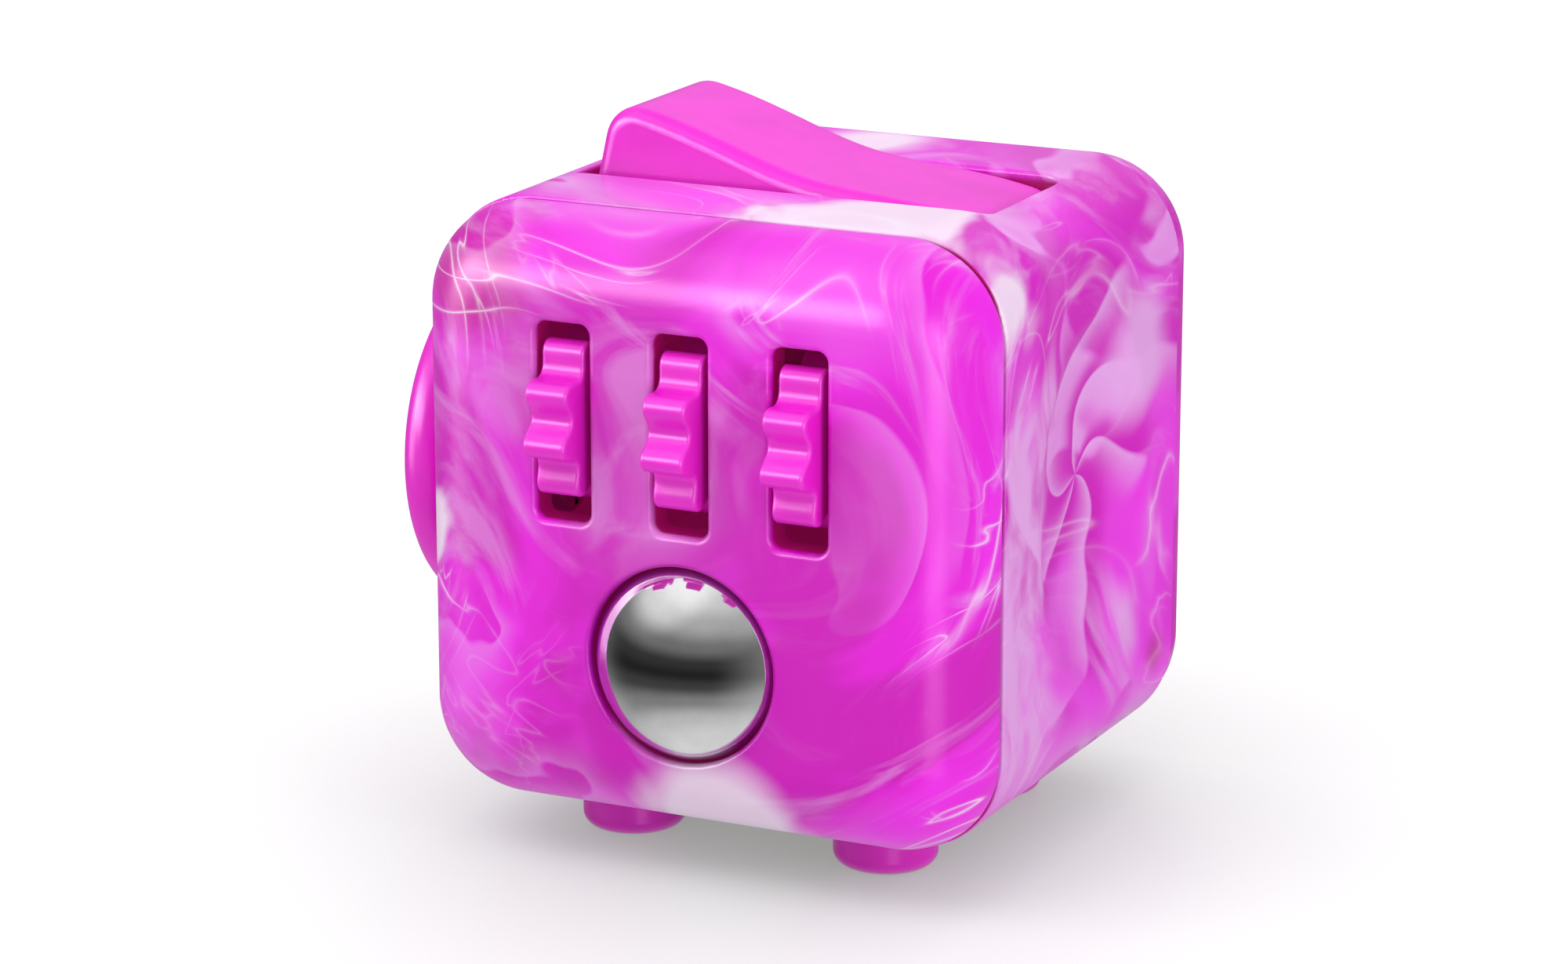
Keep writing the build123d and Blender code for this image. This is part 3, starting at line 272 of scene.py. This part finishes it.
def mixed(tree, amount, under, over):
    """One colour laid over another by an amount from 0 to 1."""
    node = add(tree, "ShaderNodeMix", {"Factor": amount}, data_type="RGBA")
    colours = [socket for socket in node.inputs if socket.type == "RGBA"]
    for socket, value in zip(colours, (under, over)):
        if isinstance(value, bpy.types.NodeSocket):
            tree.links.new(value, socket)
        else:
            socket.default_value = (*value, 1.0)
    return next(socket for socket in node.outputs if socket.type == "RGBA")


def step(tree, value, low, high):
    """0 below low, 1 above high, smooth between. Low may be the larger."""
    inputs = {"Value": value, "From Min": low, "From Max": high}
    return add(tree, "ShaderNodeMapRange", inputs, interpolation_type="SMOOTHSTEP").outputs[0]


def spread(tree, value, least, most):
    """A value from 0 to 1, moved evenly to least to most."""
    return add(tree, "ShaderNodeMapRange", {"Value": value, "To Min": least, "To Max": most}).outputs[0]


def new_material(name, **values):
    """A material with one Principled shader, and its tree."""
    material = bpy.data.materials.new(name)
    material.use_nodes = True
    shader = material.node_tree.nodes["Principled BSDF"]
    for key, value in values.items():
        shader.inputs[key.replace("_", " ")].default_value = value
    return material, material.node_tree, shader


def here(tree):
    """The surface point, in metres."""
    return add(tree, "ShaderNodeTexCoord").outputs["Object"]


def place(tree, shift=0.0):
    """The surface point in cube sides from the cube's centre, moved by a shift."""
    point = vector_of(tree, "SUBTRACT", here(tree), tuple(CENTRE))
    point = scaled(tree, point, 1 / SIDE)
    return vector_of(tree, "ADD", point, tuple(way * shift for way in SHIFT_WAY))


def edges(tree):
    """1 on edges, where a paler painted highlight goes, and 0 on flats."""
    smooth = add(tree, "ShaderNodeBevel", {"Radius": EDGE_RADIUS}, samples=EDGE_SAMPLES).outputs[0]
    true = add(tree, "ShaderNodeNewGeometry").outputs["True Normal"]
    return step(tree, number_of(tree, "DOT_PRODUCT", smooth, true), EDGE_FLAT, EDGE_SHARP)


def grain(tree, shader, size, strength, depth):
    """Fine moulded pebble grain, in metres."""
    height = noise(tree, here(tree), 1 / size, 2.0, 0.55)
    inputs = {"Height": height, "Strength": strength, "Distance": depth}
    bump = add(tree, "ShaderNodeBump", inputs)
    tree.links.new(bump.outputs["Normal"], shader.inputs["Normal"])


# ---- marbling ----
def stirred(tree, point, scale, reach, detail):
    """The point pushed about by a slow noise, as stirring drags wet plastic."""
    push = noise(tree, point, scale, detail, output="Color")
    push = vector_of(tree, "SUBTRACT", push, (0.5, 0.5, 0.5))
    return vector_of(tree, "ADD", point, scaled(tree, push, reach))


def patchy(tree, point, scale, reach):
    """1 in some soft-edged regions, 0 in the rest: reach sets how much is left out."""
    return step(tree, noise(tree, point, scale), reach, reach + PATCH_SOFT)


def haze(tree, point, squeeze, scale, first, full):
    """Milky streaks, drawn out across the axis that is squeezed."""
    drawn = vector_of(tree, "MULTIPLY", point, squeeze)
    return step(tree, noise(tree, drawn, scale, *HAZE_NOISE), first, full)


def fibres(tree, point, squeeze, reach):
    """Hair-thin pale fibres in loose sheaves, drawn out like the haze."""
    drawn = vector_of(tree, "MULTIPLY", point, squeeze)
    field = noise(tree, drawn, *FIBRE_NOISE)
    away = math_of(tree, "ABSOLUTE", math_of(tree, "SUBTRACT", field, 0.5))
    near = math_of(tree, "SUBTRACT", 1.0, times(tree, away, 2.0), clamp=True)
    crest = math_of(tree, "POWER", near, FIBRE_POWER)
    return times(tree, crest, patchy(tree, point, FIBRE_PATCH, reach))


def sheets(tree, field):
    """Silky folds across a field: a ridge that brightens slowly up to a quick edge, and the
    dark valley beyond it."""
    along = math_of(tree, "FRACT", times(tree, field, FOLDS))
    rise = math_of(tree, "POWER", along, RIDGE_POWER)
    ridge = times(tree, rise, step(tree, along, 1.0, RIDGE_CUT))
    valley = larger(tree, step(tree, along, VALLEY_END, 0.0), step(tree, along, VALLEY_START, 1.0))
    return ridge, valley


def fan(tree, point, hub):
    """A field that turns about a hub on a face that looks along X, like a skirt's pleats."""
    offset = vector_of(tree, "SUBTRACT", point, hub)
    around = add(tree, "ShaderNodeSeparateXYZ", {0: offset})
    angle = math_of(tree, "ARCTAN2", around.outputs["Z"], around.outputs["Y"])
    turns = math_of(tree, "DIVIDE", angle, 2 * math.pi)
    return math_of(tree, "ADD", turns, times(tree, number_of(tree, "LENGTH", offset), FAN_TWIST))


def spots(tree, point, ragged, blobs):
    """1 in soft ragged blobs, each a (centre, radius), and 0 in the rest."""
    total = None
    for centre, radius in blobs:
        length = number_of(tree, "LENGTH", vector_of(tree, "SUBTRACT", point, centre))
        away = math_of(tree, "ADD", math_of(tree, "DIVIDE", length, radius), ragged)
        blob = step(tree, away, BLOB_OUTER, BLOB_INNER)
        total = blob if total is None else larger(tree, total, blob)
    return total


def mouth(tree):
    """1 on the walls of the openings, where the plastic turns inwards from the outside, else 0: there
    the colour gets painted shade and a faint painted glow.
    """
    point = vector_of(tree, "SUBTRACT", here(tree), tuple(CENTRE))
    core = SIDE / 2 - ROUND_EDGE
    beyond = vector_of(tree, "SUBTRACT", vector_of(tree, "ABSOLUTE", point), (core, core, core))
    outer = vector_of(tree, "MAXIMUM", beyond, BLACK)
    height = number_of(tree, "LENGTH", outer)
    signed = vector_of(tree, "MULTIPLY", outer, vector_of(tree, "SIGN", point))
    outward = vector_of(tree, "NORMALIZE", signed)
    normal = add(tree, "ShaderNodeNewGeometry").outputs["Normal"]
    facing = number_of(tree, "DOT_PRODUCT", normal, outward)
    sunk = step(tree, height, ROUND_EDGE - SUNK_FROM, ROUND_EDGE - SUNK_FULL)
    return times(tree, sunk, step(tree, facing, WALL_FROM, WALL_FULL))


def folded(tree, colour, field, amount):
    """The colour with folds across a field laid over it."""
    ridge, valley = sheets(tree, field)
    colour = mixed(tree, times(tree, valley, amount), colour, MAGENTA_DARK)
    return mixed(tree, times(tree, ridge, amount), colour, LILAC)


def marble(name, shift, silk, fibre, pale=(), milky=(), dark=(), calm=(), hub=None):
    """Magenta plastic stirred in the mould with a paler one. silk and fibre are how strongly
    the folds and the fibres show; pale, milky, dark and calm (of few streaks) are blobs, and
    hub the middle of a fan of folds."""
    material, tree, shader = new_material(name, IOR=MARBLE_IOR, Emission_Strength=1.0)
    home = place(tree)
    point = place(tree, shift)
    slow = stirred(tree, point, *STIR_SLOW)
    quick = stirred(tree, slow, *STIR_QUICK)
    torn = math_of(tree, "SUBTRACT", noise(tree, quick, *RAGGED_NOISE), 0.5)
    ragged = times(tree, torn, RAGGED_REACH)

    colour = ramp(tree, noise(tree, slow, *TONE_NOISE), TONES)
    if dark:
        shade = times(tree, spots(tree, home, ragged, dark), DARK_SHARE)
        colour = mixed(tree, shade, colour, MAGENTA_DEEP)
    amount = times(tree, patchy(tree, slow, FOLD_PATCH, FOLD_REACH), silk)
    colour = folded(tree, colour, noise(tree, quick, FOLD_SCALE), amount)
    if hub:
        pleats = fan(tree, stirred(tree, home, *STIR_PLEATS), hub)
        colour = folded(tree, colour, pleats, spots(tree, home, ragged, ((hub, FAN_RADIUS),)))

    across = haze(tree, slow, LEVEL_SQUEEZE, *HAZE_LEVEL)
    upright = haze(tree, slow, UPRIGHT_SQUEEZE, *HAZE_UPRIGHT)
    streaks = times(tree, larger(tree, across, upright), HAZE_SHARE)
    level = fibres(tree, slow, LEVEL_SQUEEZE, FIBRE_LEVEL)
    rising = fibres(tree, slow, UPRIGHT_SQUEEZE, FIBRE_UPRIGHT)
    threads = times(tree, larger(tree, level, rising), fibre)
    if calm:
        taken = times(tree, spots(tree, home, ragged, calm), CALM_SHARE)
        kept = math_of(tree, "SUBTRACT", 1.0, taken)
        streaks = times(tree, streaks, kept)
        threads = times(tree, threads, kept)
    colour = mixed(tree, streaks, colour, LILAC)
    if milky:
        drawn = vector_of(tree, "MULTIPLY", quick, WISP_SQUEEZE)
        wisps = step(tree, noise(tree, drawn, *WISP_NOISE), WISP_FROM, WISP_FULL)
        veil = times(tree, spots(tree, home, ragged, milky), times(tree, wisps, silk))
        colour = mixed(tree, veil, colour, LILAC)
    if pale:
        cloudy = spread(tree, across, PALE_LEAST, 1.0)
        blob = times(tree, spots(tree, home, ragged, pale), cloudy)
        colour = mixed(tree, blob, colour, SMOKE)
    colour = mixed(tree, threads, colour, SMOKE)

    # the walls of the openings: painted shade in their colour and a faint painted glow
    opening = mouth(tree)
    tree.links.new(mixed(tree, opening, colour, MOUTH_SHADE), shader.inputs["Base Color"])
    tree.links.new(mixed(tree, opening, BLACK, THROUGH_GLOW), shader.inputs["Emission Color"])
    sheen = spread(tree, noise(tree, point, *SHEEN_NOISE), *MARBLE_ROUGHNESS)
    tree.links.new(sheen, shader.inputs["Roughness"])
    grain(tree, shader, *MARBLE_GRAIN)
    return material


# ---- plain materials ----
def moulded(name, base, pale, roughness, glow=BLACK):
    """One-colour moulded plastic: faint flow clouds, a paler painted highlight along its edges, a faint
    painted glow where one is given, and a fine grain.
    """
    light = {"Emission_Color": (*glow, 1.0), "Emission_Strength": 1.0}
    material, tree, shader = new_material(name, IOR=MOULD_IOR, **light)
    point = place(tree)
    deep = tuple(channel * FLOW_DEEP for channel in base)
    colour = ramp(tree, noise(tree, point, *FLOW_NOISE), [(FLOW_FROM, deep), (FLOW_TO, base)])
    # painted highlight: the edges lean towards the paler colour
    colour = mixed(tree, times(tree, edges(tree), EDGE_HIGHLIGHT), colour, pale)
    tree.links.new(colour, shader.inputs["Base Color"])
    rub = noise(tree, point, *RUB_NOISE)
    rubbed = spread(tree, rub, roughness - RUB_LESS, roughness + RUB_MORE)
    tree.links.new(rubbed, shader.inputs["Roughness"])
    grain(tree, shader, *MOULD_GRAIN)
    return material


def metal(name, base, roughness, scratch):
    """Polished or plated metal with fine wipe marks."""
    material, tree, shader = new_material(name, Metallic=1.0)
    point = place(tree)
    dull = tuple(channel * CLOUD_DULL for channel in base)
    stops = [(CLOUD_FROM, dull), (CLOUD_TO, base)]
    tree.links.new(ramp(tree, noise(tree, point, *CLOUD_NOISE), stops), shader.inputs["Base Color"])
    stretched = vector_of(tree, "MULTIPLY", point, WIPE_SQUEEZE)
    wipe = noise(tree, stretched, *WIPE_NOISE)
    wiped = spread(tree, wipe, roughness * WIPE_LESS, roughness * WIPE_MORE)
    tree.links.new(wiped, shader.inputs["Roughness"])
    grain(tree, shader, METAL_GRAIN_SIZE, scratch, METAL_GRAIN_DEPTH)
    return material


def dress():
    """Puts each CAD node's finish in its material slots."""
    finishes = {
        "sleeve_plastic": marble(
            "sleeve_marble", shift=4.3, silk=0.9, fibre=0.5, pale=SLEEVE_PALE, milky=SLEEVE_MILKY,
            dark=SLEEVE_DARK, calm=SLEEVE_CALM, hub=SLEEVE_HUB,
        ),
        "front_cover_plastic": marble(
            "front_marble", shift=0.7, silk=0.42, fibre=0.95, pale=FRONT_PALE, milky=FRONT_MILKY,
            dark=FRONT_DARK, calm=FRONT_CALM,
        ),
        "back_cover_plastic": marble("back_marble", shift=9.1, silk=0.35, fibre=0.05),
        "pink_plastic": moulded("hot_pink", HOT_PINK, HOT_PINK_HIGHLIGHT, roughness=0.3),
        "polished_steel": metal("polished_steel", STEEL, roughness=0.06, scratch=0.05),
        "plated_steel": metal("plated_steel", ZINC, roughness=0.3, scratch=0.2),
        "spring_steel": metal("spring_steel", STEEL, roughness=0.25, scratch=0.2),
        # the inner plastic gets a faint painted glow as well as its colour
        "inner_plastic": moulded(
            "inner_crimson", CRIMSON, CRIMSON, roughness=0.5, glow=THROUGH_GLOW,
        ),
        "slippery_plastic": moulded("acetal", ACETAL, ACETAL, roughness=0.4),
        "silicone": moulded("silicone", SILICONE, SILICONE, roughness=0.5),
    }
    slot_of = {part["node"]: part["material_slot"] for part in frame["record"]["subparts"]}
    for name, node in frame["nodes"].items():
        node.data.materials.clear()
        node.data.materials.append(finishes[slot_of[name]])


# ---- stage ----
def area_light(name, direction, distance, size, power, glossy):
    """A soft box that looks at the cube from a direction. A glossy one only makes highlights,
    and the steel ball, which mirrors the room alone, is left out of it."""
    data = bpy.data.lights.new(name, "AREA")
    data.shape = "RECTANGLE"
    data.size, data.size_y = size
    data.energy = power
    light = bpy.data.objects.new(name, data)
    light.visible_glossy = glossy
    light.visible_diffuse = not glossy
    bpy.context.scene.collection.objects.link(light)
    light.location = CENTRE + Vector(direction).normalized() * distance
    light.rotation_euler = (CENTRE - light.location).to_track_quat("-Z", "Y").to_euler()
    if glossy:
        lit = bpy.data.collections.new(name + "_lights")
        for node in frame["nodes"].values():
            if node.name != "ball":
                lit.objects.link(node)
        light.light_linking.receiver_collection = lit


def floor():
    """A wide white sweep of glowing paper under the cube, clear when it is seen from below, with the
    cube's soft shadow painted into its glow.
    """
    half, level = FLOOR_HALF, FLOOR_LEVEL
    corners = [(-half, -half, level), (half, -half, level), (half, half, level), (-half, half, level)]
    mesh = bpy.data.meshes.new("floor")
    mesh.from_pydata(corners, [], [(0, 1, 2, 3)])
    sheet = bpy.data.objects.new("floor", mesh)
    bpy.context.scene.collection.objects.link(sheet)
    values = {"Roughness": FLOOR_ROUGHNESS, "Emission_Strength": FLOOR_GLOW}
    material, tree, shader = new_material("paper", **values)
    dim = tuple(channel * PAPER_DIM for channel in PAPER)
    tone = ramp(tree, noise(tree, here(tree), *PAPER_NOISE), [(PAPER_FROM, dim), (PAPER_TO, PAPER)])
    tree.links.new(tone, shader.inputs["Base Color"])
    # painted shadow: the floor's glow dims where the cube hides the room
    reach = {"Distance": CONTACT_REACH}
    sky = add(tree, "ShaderNodeAmbientOcclusion", reach, samples=CONTACT_SAMPLES).outputs["AO"]
    tree.links.new(ramp(tree, sky, CONTACT_SHADE), shader.inputs["Emission Color"])
    behind = add(tree, "ShaderNodeNewGeometry").outputs["Backfacing"]
    clear = add(tree, "ShaderNodeBsdfTransparent").outputs[0]
    seen = add(tree, "ShaderNodeMixShader", {0: behind, 1: shader.outputs[0], 2: clear}).outputs[0]
    tree.links.new(seen, tree.nodes["Material Output"].inputs["Surface"])
    mesh.materials.append(material)
    sheet.visible_glossy = False


def world():
    """A white studio. Matt surfaces get an even fill from it, and glossy ones mirror its walls,
    which are bright overhead and underfoot and darkest about level, with two soft glows."""
    room = bpy.data.worlds.new("studio")
    bpy.context.scene.world = room
    room.use_nodes = True
    tree = room.node_tree
    looked = add(tree, "ShaderNodeTexCoord").outputs["Generated"]
    height = add(tree, "ShaderNodeSeparateXYZ", {0: looked}).outputs["Z"]
    upward = math_of(tree, "ADD", times(tree, height, 0.5), 0.5)
    in_front = step(tree, number_of(tree, "DOT_PRODUCT", looked, AHEAD), FRONT_FROM, FRONT_FULL)
    back = ramp(tree, upward, BACK_WALLS, "EASE")
    front = ramp(tree, upward, FRONT_WALLS, "EASE")
    walls = mixed(tree, in_front, back, front)
    for direction, width, strength in GLOWS:
        facing = number_of(tree, "DOT_PRODUCT", looked, Vector(direction).normalized())
        glow = times(tree, step(tree, facing, 1 - width, 1.0), strength)
        glow = add(tree, "ShaderNodeCombineXYZ", {0: glow, 1: glow, 2: glow}).outputs[0]
        walls = vector_of(tree, "ADD", walls, glow)
    path = add(tree, "ShaderNodeLightPath")
    shade = mixed(tree, path.outputs["Is Glossy Ray"], (FILL, FILL, FILL), walls)
    shade = mixed(tree, path.outputs["Is Camera Ray"], shade, WHITE)
    tree.links.new(shade, tree.nodes["Background"].inputs["Color"])


def camera():
    """Looks down a little from the right of the front face."""
    level = math.cos(ELEVATION)
    away = Vector((math.sin(AZIMUTH) * level, -math.cos(AZIMUTH) * level, math.sin(ELEVATION)))
    data = bpy.data.cameras.new("camera")
    data.sensor_width = SENSOR
    data.lens = LENS
    data.clip_start, data.clip_end = NEAR, FAR
    eye = bpy.data.objects.new("camera", data)
    bpy.context.scene.collection.objects.link(eye)
    eye.location = CENTRE + AIM_OFFSET + away * DISTANCE
    eye.rotation_euler = (-away).to_track_quat("-Z", "Y").to_euler()
    bpy.context.scene.camera = eye


dress()
floor()
world()
camera()
for light in LIGHTS:
    area_light(*light)
bpy.context.scene.view_settings.view_transform = "Standard"
